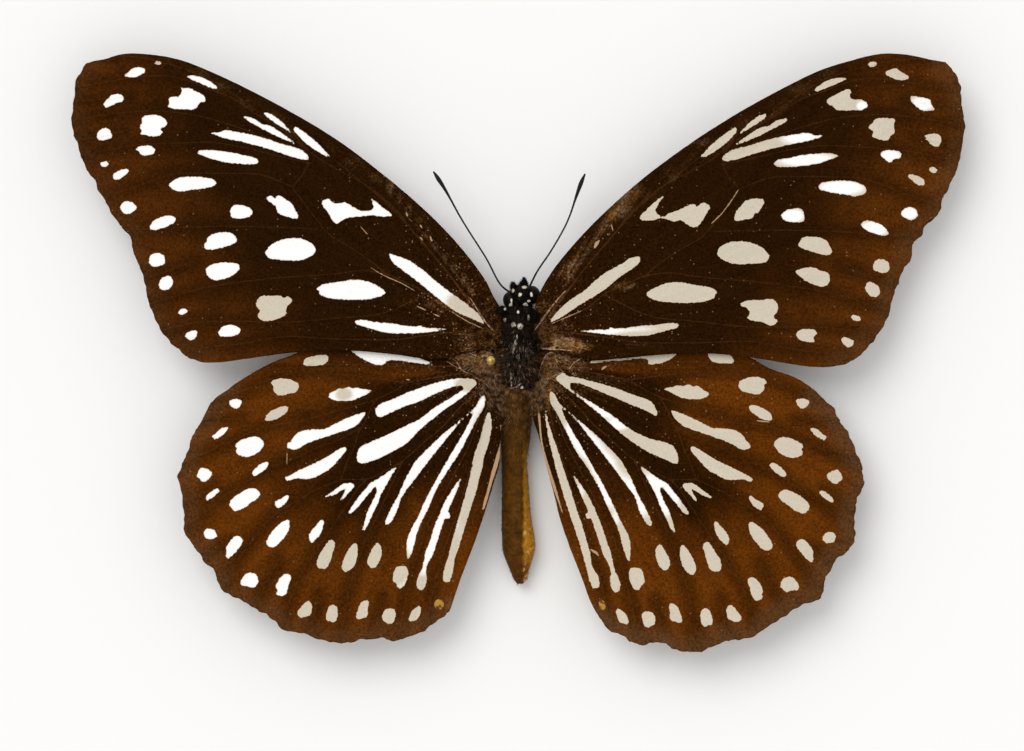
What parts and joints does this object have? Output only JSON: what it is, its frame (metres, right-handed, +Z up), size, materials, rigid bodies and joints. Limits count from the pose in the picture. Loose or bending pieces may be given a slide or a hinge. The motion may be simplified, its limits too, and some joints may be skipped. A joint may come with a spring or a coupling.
{
  "type": "pinned butterfly specimen",
  "caption": "Spread dried butterfly with dark pale-spotted wings, set flat on a thin ball-headed pin through its thorax.",
  "frame": {"origin": "centre of the flat of the belly under the thorax, where the specimen lies on a surface", "axes": "+X to the specimen's right wing tips as seen from above, +Y towards the head, +Z up out of the back, towards the pin's head"},
  "size_m": [0.0893, 0.0597, 0.0187],
  "materials": {
    "forewing_scales": "matt scales with pale bare-looking spots",
    "hindwing_scales": "matt scales with pale bare-looking spots",
    "body_scales": "matt, hairy, with small white tufts",
    "abdomen_scales": "matt",
    "limb_chitin": "satin",
    "pin_enamel": "black enamel",
    "pin_ball": "gold-coloured, glossy"
  },
  "bodies": {
    "root": {"thorax": "body_scales", "head": "body_scales", "palp_left": "body_scales", "palp_right": "body_scales", "abdomen": "abdomen_scales", "forewing_left": "forewing_scales", "forewing_right": "forewing_scales", "hindwing_left": "hindwing_scales", "hindwing_right": "hindwing_scales", "antenna_left": "limb_chitin", "antenna_right": "limb_chitin", "proboscis": "limb_chitin", "foreleg_left": "limb_chitin", "foreleg_right": "limb_chitin", "midleg_left": "limb_chitin", "midleg_right": "limb_chitin", "hindleg_left": "limb_chitin", "hindleg_right": "limb_chitin", "pin_shaft": "pin_enamel", "pin_head": "pin_ball"}
  },
  "joints": []
}
